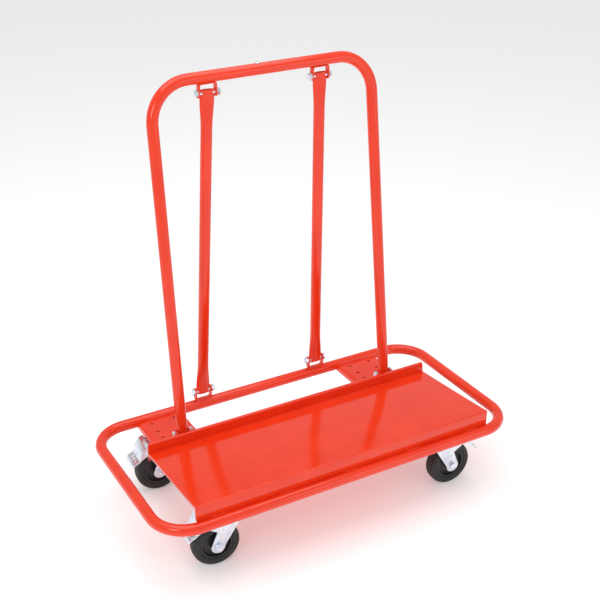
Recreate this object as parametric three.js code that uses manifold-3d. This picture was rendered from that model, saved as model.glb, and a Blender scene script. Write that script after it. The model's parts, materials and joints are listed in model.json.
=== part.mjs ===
// Panel cart for drywall and other sheet goods: a bent-tube bumper ring on four
// swivel casters, a folded sheet-steel deck, and an inverted-U mast held upright
// by two struts. Millimetres, +Z up, +X along the cart, -Y is the loading side.
// The origin is on the floor under the middle of the ring.
import * as THREE from 'three';
import { mergeVertices } from 'three/addons/utils/BufferGeometryUtils.js';
import Module from 'manifold-3d';

const wasm = await Module();
wasm.setup();

// ---- Driving dimensions ---------------------------------------------------------

const BASE_LENGTH = 1070; // outside of the ring along X
const BASE_WIDTH = 525; // outside of the ring along Y
const OVERALL_HEIGHT = 1143; // floor to the top of the mast

const TUBE_DIA = 30;
const TUBE_WALL = 2;
const FIT_GAP = 0.3; // between welded or seated pieces
const HOLE_CLEARANCE = 0.5; // round a bolt or pin, on the radius

const RING_BEND = 90; // centreline radius of the ring's corners
const DRAIN_HOLE_DIA = 6;
const DRAIN_HOLE_X = 60;

const WHEEL_DIA = 127;
const WHEEL_WIDTH = 38;
const CROWN_OVER_WHEEL = 27; // top face of the fork's crown over the tread
const CASTER_OVER_CROWN = 25.7; // top face of the caster's plate over the crown
const CASTER_INSET_X = 197.5; // swivel axis inside the ring's end rails
const CASTER_PLATE = [102, 104, 4];
const PLATE_TO_RAIL = 0.5; // caster's plate short of the side rail
const CASTER_TRAIL = 38; // axle behind the swivel axis

const CHANNEL_WIDTH = 130;
const CHANNEL_SHEET = 4;
const CHANNEL_FLANGE = 18; // overall depth of the folded edge
const CHANNEL_BEND = 3; // outside radius of the fold
const RAIL_BELOW_WEB = 2; // ring centre under the channel's top face

const PLATE_HOLE_DIA = 9;
const PLATE_HOLE_X = 66; // hole spacing along the cart
const PLATE_HOLE_ROWS = [-40, -7, 36]; // hole rows from the swivel axis, outwards

const DECK_END_INSET = 84; // deck's ends inside the ring's end rails
const DECK_SHEET = 2.5;
const SKIRT_INSET = 6.5; // outside of the front skirt, inside the front rail
const LIP_INSET = 185.5; // outside of the back lip, inside the rear rail
const DECK_FRONT_RISE = 55; // deck's front edge over the channel's top face
const DECK_BACK_RISE = 27; // deck at the foot of the back lip, over the same face
const LIP_RISE = 55; // top of the back lip, over the same face
const LIP_THICKNESS = 10; // folded double
const LIP_SETBACK = 3; // lip's ends inside the deck's ends
const DECK_BEND = 3.5; // outside radius of the folds
const END_FLANGE = 8; // the deck's ends turned down
const SKIRT_RETURN = 9; // the front skirt's ends turned back

const MAST_FOOT_INSET_X = 1.5; // uprights at ring height, inside the swivel axes
const MAST_TAPER = 7; // uprights drawn in by this at the top bar's height
const MAST_FOOT_INSET_Y = 162.8; // inside the rear rail, at ring height
const MAST_TOP_INSET_Y = 30.5; // the top bar, inside the rear rail
const MAST_BEND = 100;
const MAST_FOOT_LIFT = 7; // tube end over the channel's top face
const SLEEVE_LENGTH = 120;
const SLEEVE_WALL = 2;
const SCREW_X = -20; // the screw that locks the sleeve in the left half
const SCREW_R = 3;
const SCREW_HEAD_R = 5.5;
const SCREW_HEAD = 2.5;

const MAST_BOLT_ABOVE_WEB = 35;
const STRUT_BOLT_ABOVE_RING = 43;
const STRUT_BOLT_BELOW_BAR = 40;
const STRUT_FOOT_X = 184;
const STRUT_TOP_X = 161;
const STRUT_END_WIDTH = 40; // the tube pressed flat at its ends
const STRUT_END_DEPTH = 15;
const STRUT_TAPER = 75; // from the flat to the round tube
const STRUT_FLAT = 16; // length of the flat inwards of the bolt
const STRUT_BEYOND = 8; // tube past the bolt's centre

const BRACKET_BAR = 4; // flat bar of the U brackets
const BRACKET_BEND = 6; // outside radius of their bends
const BRACKET_SLACK = 1; // each side of the tube between the ears
const STRUT_BRACKET_DEPTH = 15;
const MAST_BRACKET_DEPTH = 26;
const EAR_MARGIN = 11; // ear beyond the bolt's centre

const BOLT_DIA = 10;
const HEX_FLATS = 17;
const HEAD_HEIGHT = 6.5;
const NUT_HEIGHT = 8;
const THREAD_PROUD = 3;

const FORK_SHEET = 4;
const FORK_INSIDE = 44;
const CROWN_FLARE = 8; // crown past the legs, beside the swivel axis
const CROWN_SHORT = 12; // crown's end short of the brake pivot
const LEG_FRONT = 26; // leg's leading edge, from the swivel axis
const LEG_SQUARE = 18; // straight part of that edge, under the crown
const LEG_END_R = 19; // round end of the leg at the axle
const LEG_NOTCH = 46; // corner between leg and brake arm, under the crown
const ARM_END_R = 10; // round end of the arm at the brake pivot
const RACE_RADIUS = 27;
const BALL_DIA = 6;
const CUP_MARGIN = 3; // race cups past the balls, inwards and outwards
const LOWER_CUP = 3.2; // lower cup over the crown
const CUP_SKIRT = 2; // wall round the race
const SKIRT_LIFT = 4; // the wall's foot over the crown
const KINGPIN_DIA = 12;
const KINGPIN_HEAD = 3.2;
const KINGPIN_HEAD_R = 13;
const KINGPIN_NUT = 9;
const AXLE_DIA = 12;
const AXLE_FLATS = 19;
const AXLE_NUT = 10;

const RIM_RADIUS = 43.7;
const RIM_INSET = 3; // rim's edges inside the tyre's walls
const RIM_WALL = 6.7;
const HUB_BOSS_R = 15;
const HUB_WEB_INNER = [16, 6]; // radius and half thickness
const HUB_WEB_OUTER = [35, 5];
const TYRE_SEAT_INSET = 2; // tyre's foot inside its walls
const TYRE_SIDE = 8; // where the walls end, under the tread
const TYRE_SHOULDER = 3;
const TREAD_INSET = 10; // tread's edges inside the walls

const PIVOT_BEHIND_AXLE = 34;
const PIVOT_OVER_WHEEL = 11;
const BRAKE_PIN_DIA = 8;
const BRAKE_PIN_HEAD = 2.5;
const BRAKE_PIN_HEAD_R = 6.5;
const LEVER_SHEET = 3;
const LEVER_GAP = 0.5; // between the fork's arms and the lever's cheeks
// Side views of the pedal's plate and of its cheeks, from the pivot.
const LEVER_PLATE = [[-8, 20], [4, 18], [18, -3], [23, -24], [39, -31], [44, -41]];
const LEVER_CHEEK = [[-8, 19], [-10, 4], [-7, -9], [8, -14], [20, -22], [23, -23], [17.5, -3], [4, 17]];

const BEND_STEPS = 5; // facets along a tube bend
const FOLD_STEPS = 3; // facets round a sheet fold
const TUBE_SIDES = 12;
const ROUND_SIDES = 20;
const HOLE_SIDES = 12;
const WHEEL_SIDES = 30;

// Heading of each caster's trailing side, degrees from +X.
const CASTERS = [
  { name: 'front_left', x: -1, y: -1, heading: 175 },
  { name: 'front_right', x: 1, y: -1, heading: -1 },
  { name: 'rear_left', x: -1, y: 1, heading: 177 },
  { name: 'rear_right', x: 1, y: 1, heading: 4 },
];

// ---- Worked-out places ----------------------------------------------------------

const TUBE_R = TUBE_DIA / 2;
const RAIL_X = BASE_LENGTH / 2 - TUBE_R;
const RAIL_Y = BASE_WIDTH / 2 - TUBE_R;
const CASTER_X = RAIL_X - CASTER_INSET_X;
const CASTER_Y = RAIL_Y - TUBE_R - PLATE_TO_RAIL - CASTER_PLATE[1] / 2;
const CROWN_HEIGHT = WHEEL_DIA + CROWN_OVER_WHEEL;
const CASTER_HEIGHT = CROWN_HEIGHT + CASTER_OVER_CROWN; // floor to the top of the plate
const BRAKE_PIVOT = [CASTER_TRAIL + PIVOT_BEHIND_AXLE, WHEEL_DIA + PIVOT_OVER_WHEEL];
const WEB_BOTTOM = CASTER_HEIGHT + FIT_GAP;
const WEB_TOP = WEB_BOTTOM + CHANNEL_SHEET;
const RING_Z = WEB_TOP - RAIL_BELOW_WEB;
const DECK_LENGTH = 2 * (RAIL_X - DECK_END_INSET);
const DECK_FRONT = RAIL_Y - SKIRT_INSET;
const DECK_BACK = RAIL_Y - LIP_INSET;
const MAST_HALF_WIDTH_FOOT = CASTER_X - MAST_FOOT_INSET_X;
const MAST_HALF_WIDTH_TOP = MAST_HALF_WIDTH_FOOT - MAST_TAPER;
const MAST_FOOT_Y = RAIL_Y - MAST_FOOT_INSET_Y;
const MAST_TOP_Y = RAIL_Y - MAST_TOP_INSET_Y;
const BAR_Z = OVERALL_HEIGHT - TUBE_R;
const WHEEL_R = WHEEL_DIA / 2;
const BOLT_R = BOLT_DIA / 2;
const FORK_OUTSIDE = FORK_INSIDE + 2 * FORK_SHEET;
const LEVER_HALF = FORK_OUTSIDE / 2 + LEVER_GAP + LEVER_SHEET;
const SIDES = [['left', -1], ['right', 1]];

// ---- Materials ------------------------------------------------------------------

function finish(name, color, roughness, metalness) {
  const material = new THREE.MeshStandardMaterial({ color, roughness, metalness });
  material.name = name;
  return material;
}

const RED_PAINT = finish('red powder coat', 0xe03a1e, 0.3, 0.0);
const ZINC = finish('zinc plate', 0xb9c3cc, 0.35, 0.9);
const RUBBER = finish('black rubber', 0x1b1b1c, 0.75, 0.0);
const BLACK_HUB = finish('black hub', 0x151516, 0.5, 0.0);

// ---- Solids: joining and cutting ------------------------------------------------

function solid(geometry) {
  const bare = geometry.clone();
  for (const name of Object.keys(bare.attributes)) {
    if (name !== 'position') bare.deleteAttribute(name);
  }
  const merged = mergeVertices(bare, 1e-4);
  const vertProperties = new Float32Array(merged.attributes.position.array);
  const triVerts = new Uint32Array(merged.index.array);
  return new wasm.Manifold(new wasm.Mesh({ numProp: 3, vertProperties, triVerts }));
}

function geometryOf(manifold) {
  const mesh = manifold.getMesh();
  const geometry = new THREE.BufferGeometry();
  geometry.setAttribute('position', new THREE.BufferAttribute(mesh.vertProperties, 3));
  geometry.setIndex(new THREE.BufferAttribute(mesh.triVerts, 1));
  geometry.computeVertexNormals();
  return geometry;
}

function join(first, ...others) {
  return others.reduce((sum, other) => sum.add(other), first);
}

function cut(first, ...others) {
  return others.reduce((rest, other) => rest.subtract(other), first);
}

const model = new THREE.Group();

function place(name, geometry, material, parent = model) {
  const mesh = new THREE.Mesh(geometry, material);
  mesh.name = name;
  parent.add(mesh);
  return mesh;
}

// ---- Basic shapes ---------------------------------------------------------------

// Box between two corners.
function block(low, high) {
  const size = high.map((value, i) => value - low[i]);
  const geometry = new THREE.BoxGeometry(...size);
  geometry.translate(...high.map((value, i) => (value + low[i]) / 2));
  return solid(geometry);
}

// Round bar along X, Y or Z between two stations, centred on the other two coordinates.
function bar(axis, from, to, radius, centre, sides = ROUND_SIDES) {
  const geometry = new THREE.CylinderGeometry(radius, radius, to - from, sides);
  return solid(layAlong(geometry, axis, (from + to) / 2, centre));
}

// Hexagonal prism, as a bolt head or a nut.
function hexagon(axis, from, to, flats, centre) {
  const geometry = new THREE.CylinderGeometry(flats / Math.sqrt(3), flats / Math.sqrt(3), to - from, 6);
  return solid(layAlong(geometry, axis, (from + to) / 2, centre));
}

function layAlong(geometry, axis, middle, centre) {
  if (axis === 'x') {
    geometry.rotateZ(-Math.PI / 2);
    geometry.translate(middle, centre[0], centre[1]);
  } else if (axis === 'y') {
    geometry.translate(centre[0], middle, centre[1]);
  } else {
    geometry.rotateX(Math.PI / 2);
    geometry.translate(centre[0], centre[1], middle);
  }
  return geometry;
}

// Turned piece about Y from a closed outline of [radius, y].
function turned(outline, sides = ROUND_SIDES) {
  const points = [...outline, outline[0]].map(([r, y]) => new THREE.Vector2(r, y));
  return new THREE.LatheGeometry(points, sides);
}

// Outline in X and Z, given as a Shape, extruded along Y.
function slab(shape, from, to, curveSegments = 6) {
  const options = { depth: to - from, bevelEnabled: false, curveSegments };
  const geometry = new THREE.ExtrudeGeometry(shape, options);
  geometry.rotateX(Math.PI / 2);
  geometry.translate(0, to, 0);
  return solid(geometry);
}

// Outline in Y and Z, given as a Shape, extruded along X.
function slabAlongX(shape, from, to) {
  const geometry = new THREE.ExtrudeGeometry(shape, { depth: to - from, bevelEnabled: false });
  geometry.rotateY(Math.PI / 2);
  geometry.rotateX(Math.PI / 2);
  geometry.translate(from, 0, 0);
  return solid(geometry);
}

function polygon(points) {
  return new THREE.Shape(points.map(([x, y]) => new THREE.Vector2(x, y)));
}

const point = (x, y, z) => new THREE.Vector3(x, y, z);

// ---- Bent tube ------------------------------------------------------------------

// Straight runs joined by round bends, with one step per run and a few per bend.
class BentPath extends THREE.Curve {
  constructor(corners, bend, bendSteps = BEND_STEPS) {
    super();
    this.stations = [];
    const last = corners.length - 1;
    corners.forEach((corner, i) => {
      if (i === 0 || i === last) {
        const next = i === 0 ? corners[1] : corners[last - 1];
        const along = next.clone().sub(corner).normalize();
        this.stations.push({ point: corner, tangent: i === 0 ? along : along.negate() });
        return;
      }
      this.addBend(corners[i - 1], corner, corners[i + 1], bend, bendSteps);
    });
  }

  addBend(before, corner, after, bend, bendSteps) {
    const into = corner.clone().sub(before).normalize();
    const away = after.clone().sub(corner).normalize();
    const turn = into.angleTo(away);
    const normal = into.clone().cross(away).normalize();
    const start = corner.clone().addScaledVector(into, -bend * Math.tan(turn / 2));
    const centre = start.clone().addScaledVector(normal.clone().cross(into), bend);
    for (let i = 0; i <= bendSteps; i += 1) {
      const angle = (turn * i) / bendSteps;
      const point = start.clone().sub(centre).applyAxisAngle(normal, angle).add(centre);
      this.stations.push({ point, tangent: into.clone().applyAxisAngle(normal, angle) });
    }
  }

  blend(u, key) {
    const reach = u * (this.stations.length - 1);
    const i = Math.min(Math.floor(reach + 1e-9), this.stations.length - 2);
    return this.stations[i][key].clone().lerp(this.stations[i + 1][key], reach - i);
  }

  getPoint(u) {
    return this.blend(u, 'point');
  }

  getPointAt(u) {
    return this.blend(u, 'point');
  }

  getTangentAt(u) {
    return this.blend(u, 'tangent').normalize();
  }
}

// Along Z, with a step at each station.
class StraightPath extends BentPath {
  constructor(reaches) {
    super([point(0, 0, reaches[0]), point(0, 0, reaches[reaches.length - 1])], 0);
    this.stations = reaches.map((z) => ({ point: point(0, 0, z), tangent: point(0, 0, 1) }));
  }
}

function tubeGeometry(path, outer, inner, sides = TUBE_SIDES) {
  const section = new THREE.Shape().absarc(0, 0, outer, 0, 2 * Math.PI, false);
  if (inner) section.holes.push(new THREE.Path().absarc(0, 0, inner, 0, 2 * Math.PI, true));
  const steps = path.stations.length - 1;
  return new THREE.ExtrudeGeometry(section, { steps, extrudePath: path, curveSegments: sides / 2 });
}

function tube(path, outer, inner) {
  return solid(tubeGeometry(path, outer, inner));
}

// ---- Folded sheet ---------------------------------------------------------------

// Section of a sheet folded along a path of its centreline: round outside corners, closed outline.
function foldedSection(path, thickness, outsideBend) {
  const left = offsetSide(path, thickness / 2, thickness, outsideBend);
  const right = offsetSide([...path].reverse(), thickness / 2, thickness, outsideBend);
  return polygon([...left, ...right]);
}

function offsetSide(path, offset, thickness, outsideBend) {
  const points = path.map(([x, y]) => new THREE.Vector2(x, y));
  const side = [];
  for (let i = 0; i < points.length; i += 1) {
    const into = i > 0 ? points[i].clone().sub(points[i - 1]).normalize() : null;
    const away = i < points.length - 1 ? points[i + 1].clone().sub(points[i]).normalize() : null;
    const first = into ?? away;
    const second = away ?? into;
    const bisector = normalOf(first).add(normalOf(second)).normalize();
    const reach = offset / Math.max(bisector.dot(normalOf(first)), 0.2);
    const corner = points[i].clone().addScaledVector(bisector, reach);
    const turn = into && away ? into.cross(away) : 0;
    if (Math.abs(turn) < 1e-6) side.push(corner);
    else side.push(...roundedCorner(corner, first, second, turn > 0 ? outsideBend - thickness : outsideBend));
  }
  return side.map((p) => [p.x, p.y]);
}

function normalOf(direction) {
  return new THREE.Vector2(-direction.y, direction.x);
}

function roundedCorner(corner, into, away, radius) {
  const turn = Math.atan2(into.cross(away), into.dot(away));
  const back = radius * Math.tan(Math.abs(turn) / 2);
  const start = corner.clone().addScaledVector(into, -back);
  const centre = start.clone().addScaledVector(normalOf(into), Math.sign(turn) * radius);
  return Array.from({ length: FOLD_STEPS + 1 }, (_, i) => {
    return start.clone().rotateAround(centre, (turn * i) / FOLD_STEPS);
  });
}

// ---- Bumper ring ----------------------------------------------------------------

// Two U-shaped bends butt at the middle of the front and back rails and are welded into one.
function bumperRing(outer, inner) {
  const overlap = 1;
  const half = (side) => {
    const corners = [
      point(-side * overlap, -RAIL_Y, RING_Z),
      point(side * RAIL_X, -RAIL_Y, RING_Z),
      point(side * RAIL_X, RAIL_Y, RING_Z),
      point(-side * overlap, RAIL_Y, RING_Z),
    ];
    return tube(new BentPath(corners, RING_BEND), outer, inner);
  };
  return join(half(1), half(-1));
}

const ringBody = bumperRing(TUBE_R, 0);
const ringBore = bumperRing(TUBE_R - TUBE_WALL, 0);
const drainHole = bar('z', RING_Z - TUBE_DIA, RING_Z, DRAIN_HOLE_DIA / 2, [DRAIN_HOLE_X, RAIL_Y], HOLE_SIDES);
const ringTube = cut(ringBody, ringBore, drainHole);
place('bumper_ring', geometryOf(ringTube), RED_PAINT);

// The ring's outside grown by the fit gap: what butts against a rail is coped to this.
const ringCope = bumperRing(TUBE_R + FIT_GAP, 0);

// ---- Cross channels -------------------------------------------------------------

function crossChannel(side) {
  const halfWidth = (CHANNEL_WIDTH - CHANNEL_SHEET) / 2;
  const webMiddle = WEB_TOP - CHANNEL_SHEET / 2;
  const section = foldedSection(
    [
      [-halfWidth, WEB_TOP - CHANNEL_FLANGE],
      [-halfWidth, webMiddle],
      [halfWidth, webMiddle],
      [halfWidth, WEB_TOP - CHANNEL_FLANGE],
    ],
    CHANNEL_SHEET,
    CHANNEL_BEND + CHANNEL_SHEET,
  );
  const middle = side * CASTER_X;
  const blank = slab(section, -RAIL_Y, RAIL_Y).translate([middle, 0, 0]);
  const holes = [];
  for (const end of [-1, 1]) {
    for (const row of PLATE_HOLE_ROWS) {
      for (const column of [-PLATE_HOLE_X / 2, PLATE_HOLE_X / 2]) {
        const centre = [middle + column, end * (CASTER_Y + row)];
        holes.push(bar('z', WEB_BOTTOM - 1, WEB_TOP + 1, PLATE_HOLE_DIA / 2, centre, HOLE_SIDES));
      }
    }
  }
  return cut(blank, ringCope, ...holes);
}

for (const [name, side] of SIDES) {
  place(`cross_channel_${name}`, geometryOf(crossChannel(side)), RED_PAINT);
}

// ---- Deck -----------------------------------------------------------------------

// Sheet folded along a path of [y, z] points and running along X.
function foldedAlongX(path, length) {
  const options = { depth: length, bevelEnabled: false };
  const geometry = new THREE.ExtrudeGeometry(foldedSection(path, DECK_SHEET, DECK_BEND), options);
  geometry.rotateY(Math.PI / 2);
  geometry.rotateX(Math.PI / 2);
  geometry.translate(-length / 2, 0, 0);
  return solid(geometry);
}

// One sheet: front skirt on the rail, deck sloping down to the back, and a doubled back lip
// that carries on down to the channels. The deck's ends are turned down and the skirt's
// ends are turned back.
function deckTray() {
  const half = DECK_SHEET / 2;
  const railTop = RING_Z + Math.sqrt((TUBE_R + FIT_GAP) ** 2 - (RAIL_Y - DECK_FRONT) ** 2);
  const front = [-DECK_FRONT + half, WEB_TOP + DECK_FRONT_RISE - half];
  const back = [DECK_BACK - LIP_THICKNESS + half, WEB_TOP + DECK_BACK_RISE - half];
  const lipTop = WEB_TOP + LIP_RISE - half;
  const path = [
    [front[0], railTop],
    front,
    back,
    [back[0], lipTop],
    [DECK_BACK - half, lipTop],
    [DECK_BACK - half, WEB_TOP + FIT_GAP],
  ];
  const sheet = foldedAlongX(path, DECK_LENGTH);
  const ends = [-1, 1].flatMap((end) => {
    const outer = (end * DECK_LENGTH) / 2;
    const span = [outer, outer - end * DECK_SHEET].sort((a, b) => a - b);
    const flange = polygon([
      front,
      [front[0], front[1] - END_FLANGE],
      [back[0] - DECK_BEND, back[1] - END_FLANGE],
      [back[0] - DECK_BEND, back[1]],
    ]);
    const fold = polygon([
      [front[0], railTop],
      [front[0] + SKIRT_RETURN, railTop],
      [front[0] + SKIRT_RETURN, front[1] - END_FLANGE / 2],
      [front[0], front[1] - END_FLANGE / 2],
    ]);
    return [flange, fold].map((shape) => slabAlongX(shape, ...span));
  });
  const setbacks = [-1, 1].map((end) => {
    const span = [DECK_LENGTH / 2 - LIP_SETBACK, DECK_LENGTH].map((x) => end * x).sort((a, b) => a - b);
    return block([span[0], DECK_BACK - LIP_THICKNESS, WEB_TOP], [span[1], DECK_BACK + 1, lipTop + DECK_SHEET]);
  });
  return cut(join(sheet, ...ends), ...setbacks);
}

place('deck_tray', geometryOf(deckTray()), RED_PAINT);

// ---- Mast -----------------------------------------------------------------------

// Places on the leaning line of an upright, at a height.
function uprightAt(side, z) {
  const t = (z - RING_Z) / (BAR_Z - RING_Z);
  const x = MAST_HALF_WIDTH_FOOT + (MAST_HALF_WIDTH_TOP - MAST_HALF_WIDTH_FOOT) * t;
  return point(side * x, MAST_FOOT_Y + (MAST_TOP_Y - MAST_FOOT_Y) * t, z);
}

const MAST_BOLT_Z = WEB_TOP + MAST_BOLT_ABOVE_WEB;

function mastPath(side) {
  const corners = [
    uprightAt(side, WEB_TOP + MAST_FOOT_LIFT),
    uprightAt(side, BAR_Z),
    point((side * FIT_GAP) / 2, MAST_TOP_Y, BAR_Z),
  ];
  return new BentPath(corners, MAST_BEND);
}

function mastHalf(side) {
  const body = tube(mastPath(side), TUBE_R, TUBE_R - TUBE_WALL);
  const foot = uprightAt(side, MAST_BOLT_Z);
  const holeR = BOLT_R + HOLE_CLEARANCE;
  const footHole = bar('x', foot.x - TUBE_DIA, foot.x + TUBE_DIA, holeR, [foot.y, foot.z], HOLE_SIDES);
  return cut(body, footHole);
}

const screwCentre = [SCREW_X, MAST_TOP_Y];
const screwHole = bar('z', BAR_Z, OVERALL_HEIGHT + 1, SCREW_R + HOLE_CLEARANCE, screwCentre, HOLE_SIDES);
place('mast_left', geometryOf(cut(mastHalf(-1), screwHole)), RED_PAINT);
place('mast_right', geometryOf(mastHalf(1)), RED_PAINT);

const sleeveOuter = TUBE_R - TUBE_WALL - 2 * FIT_GAP;
const sleevePath = new BentPath([
  point(-SLEEVE_LENGTH / 2, MAST_TOP_Y, BAR_Z),
  point(SLEEVE_LENGTH / 2, MAST_TOP_Y, BAR_Z),
], MAST_BEND);
const sleeve = cut(tube(sleevePath, sleeveOuter, sleeveOuter - SLEEVE_WALL), screwHole);
place('mast_sleeve', geometryOf(sleeve), RED_PAINT);

// The screw's tip comes through the sleeve's wall.
function sleeveScrew() {
  const headFoot = OVERALL_HEIGHT + FIT_GAP;
  const tip = BAR_Z + sleeveOuter - 2 * SLEEVE_WALL;
  return join(
    bar('z', headFoot, headFoot + SCREW_HEAD, SCREW_HEAD_R, screwCentre, HOLE_SIDES),
    bar('z', tip, headFoot + 1, SCREW_R, screwCentre, HOLE_SIDES),
  );
}

place('sleeve_screw', geometryOf(sleeveScrew()), ZINC);

// ---- Struts ---------------------------------------------------------------------

const STRUT_FOOT_Z = RING_Z + STRUT_BOLT_ABOVE_RING;
const STRUT_TOP_Z = BAR_Z - STRUT_BOLT_BELOW_BAR;

// A tube pressed oval towards both ends, where the bolts go through it.
function strut(side) {
  const foot = point(side * STRUT_FOOT_X, RAIL_Y, STRUT_FOOT_Z);
  const top = point(side * STRUT_TOP_X, MAST_TOP_Y, STRUT_TOP_Z);
  const length = foot.distanceTo(top);
  const taperSteps = 4;
  const near = [-STRUT_BEYOND];
  for (let i = 0; i <= taperSteps; i += 1) near.push(STRUT_FLAT + (STRUT_TAPER * i) / taperSteps);
  const far = near.map((reach) => length - reach).reverse();
  const geometry = tubeGeometry(new StraightPath([...near, ...far]), TUBE_R, TUBE_R - TUBE_WALL);
  pressEnds(geometry.attributes.position, length);
  const lean = new THREE.Matrix4().lookAt(top, foot, point(0, 1, 0)).setPosition(foot);
  const holes = [foot, top].map((end) => {
    const radius = BOLT_R + HOLE_CLEARANCE;
    return bar('x', end.x - STRUT_END_WIDTH, end.x + STRUT_END_WIDTH, radius, [end.y, end.z], HOLE_SIDES);
  });
  return cut(solid(geometry).transform(lean.elements), ...holes);
}

function pressEnds(position, length) {
  for (let i = 0; i < position.count; i += 1) {
    const fromEnd = Math.min(position.getZ(i), length - position.getZ(i));
    const pressed = 1 - THREE.MathUtils.smoothstep(fromEnd, STRUT_FLAT, STRUT_FLAT + STRUT_TAPER);
    const wider = THREE.MathUtils.lerp(1, STRUT_END_WIDTH / TUBE_DIA, pressed);
    const thinner = THREE.MathUtils.lerp(1, STRUT_END_DEPTH / TUBE_DIA, pressed);
    position.setX(i, position.getX(i) * wider);
    position.setY(i, position.getY(i) * thinner);
  }
}

// ---- U brackets and their bolts -------------------------------------------------

// Flat bar bent to a U: ears either side of the bolt, web at webZ. upward is 1 or -1.
function uBracket(x, y, boltZ, webZ, inside, depth, upward) {
  const halfOut = inside / 2 + BRACKET_BAR;
  const earEnd = boltZ + upward * EAR_MARGIN;
  const middle = inside / 2 + BRACKET_BAR / 2;
  const section = foldedSection(
    [
      [-middle, earEnd],
      [-middle, webZ + (upward * BRACKET_BAR) / 2],
      [middle, webZ + (upward * BRACKET_BAR) / 2],
      [middle, earEnd],
    ],
    BRACKET_BAR,
    BRACKET_BEND,
  );
  const body = slab(section, -depth / 2, depth / 2).translate([x, y, 0]);
  const hole = bar('x', x - halfOut - 1, x + halfOut + 1, BOLT_R + HOLE_CLEARANCE, [y, boltZ], HOLE_SIDES);
  return cut(body, hole);
}

// Hex bolt along X through a bracket, head outwards, with its nut wound on.
function crossBolt(x, y, z, inside, side) {
  const ear = inside / 2 + BRACKET_BAR + FIT_GAP;
  const centre = [y, z];
  const nutEnd = ear + NUT_HEIGHT;
  const pieces = [
    bar('x', -ear - 1, nutEnd + THREAD_PROUD, BOLT_R, centre, HOLE_SIDES),
    hexagon('x', -ear - HEAD_HEIGHT, -ear, HEX_FLATS, centre),
    hexagon('x', ear, nutEnd, HEX_FLATS, centre),
  ];
  const bolt = join(...pieces);
  return (side < 0 ? bolt : bolt.mirror([1, 0, 0])).translate([x, 0, 0]);
}

for (const [name, side] of SIDES) {
  place(`strut_${name}`, geometryOf(strut(side)), RED_PAINT);

  const strutInside = STRUT_END_WIDTH + 2 * BRACKET_SLACK;
  const footX = side * STRUT_FOOT_X;
  const footWeb = RING_Z + TUBE_R - BRACKET_BAR / 2;
  const foot = uBracket(footX, RAIL_Y, STRUT_FOOT_Z, footWeb, strutInside, STRUT_BRACKET_DEPTH, 1);
  place(`strut_foot_bracket_${name}`, geometryOf(cut(foot, ringCope)), RED_PAINT);
  const footBolt = crossBolt(footX, RAIL_Y, STRUT_FOOT_Z, strutInside, side);
  place(`strut_foot_bolt_${name}`, geometryOf(footBolt), ZINC);

  const topX = side * STRUT_TOP_X;
  const topWeb = BAR_Z - TUBE_R + BRACKET_BAR / 2;
  const top = uBracket(topX, MAST_TOP_Y, STRUT_TOP_Z, topWeb, strutInside, STRUT_BRACKET_DEPTH, -1);
  place(`strut_top_bracket_${name}`, geometryOf(cut(top, tube(mastPath(side), TUBE_R + FIT_GAP))), RED_PAINT);
  const topBolt = crossBolt(topX, MAST_TOP_Y, STRUT_TOP_Z, strutInside, side);
  place(`strut_top_bolt_${name}`, geometryOf(topBolt), ZINC);

  const mastFoot = uprightAt(side, MAST_BOLT_Z);
  const mastInside = TUBE_DIA + 2 * BRACKET_SLACK;
  const mastWeb = WEB_TOP + FIT_GAP;
  const saddle = uBracket(mastFoot.x, mastFoot.y, MAST_BOLT_Z, mastWeb, mastInside, MAST_BRACKET_DEPTH, 1);
  place(`mast_foot_bracket_${name}`, geometryOf(saddle), RED_PAINT);
  const mastBolt = crossBolt(mastFoot.x, mastFoot.y, MAST_BOLT_Z, mastInside, side);
  place(`mast_foot_bolt_${name}`, geometryOf(mastBolt), ZINC);
}

// ---- Casters --------------------------------------------------------------------

// A caster is made with its swivel axis on Z and its wheel trailing towards +X.
const AXLE = [CASTER_TRAIL, WHEEL_R];
const PLATE_BOTTOM = CASTER_HEIGHT - CASTER_PLATE[2];
const CUP_OUTER = RACE_RADIUS + BALL_DIA / 2 + CUP_MARGIN;
const CUP_INNER = RACE_RADIUS - BALL_DIA / 2 - CUP_MARGIN;
const SKIRT_OUTER = CUP_OUTER + FIT_GAP + CUP_SKIRT;
const BALL_Z = CROWN_HEIGHT + LOWER_CUP + FIT_GAP + BALL_DIA / 2;

// Turned piece about the swivel axis from an outline of [radius, z].
function turnedUpright(outline, sides = ROUND_SIDES) {
  const geometry = turned(outline, sides);
  geometry.rotateX(Math.PI / 2);
  return solid(geometry);
}

function casterPlate() {
  const [length, width] = CASTER_PLATE;
  const plate = block([-length / 2, -width / 2, PLATE_BOTTOM], [length / 2, width / 2, CASTER_HEIGHT]);
  const cupFoot = BALL_Z + BALL_DIA / 2 + FIT_GAP;
  const skirtFoot = CROWN_HEIGHT + SKIRT_LIFT;
  const cup = turnedUpright([
    [CUP_INNER, PLATE_BOTTOM + 0.5],
    [CUP_INNER, cupFoot],
    [CUP_OUTER + FIT_GAP, cupFoot],
    [CUP_OUTER + FIT_GAP, skirtFoot],
    [SKIRT_OUTER, skirtFoot],
    [SKIRT_OUTER, PLATE_BOTTOM + 0.5],
  ]);
  const recessFoot = CASTER_HEIGHT - KINGPIN_HEAD - FIT_GAP;
  const recess = bar('z', recessFoot, CASTER_HEIGHT + 1, KINGPIN_HEAD_R + FIT_GAP, [0, 0]);
  const bore = bar('z', PLATE_BOTTOM - 1, CASTER_HEIGHT, KINGPIN_DIA / 2 + HOLE_CLEARANCE, [0, 0], HOLE_SIDES);
  return cut(join(plate, cup), recess, bore);
}

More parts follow.
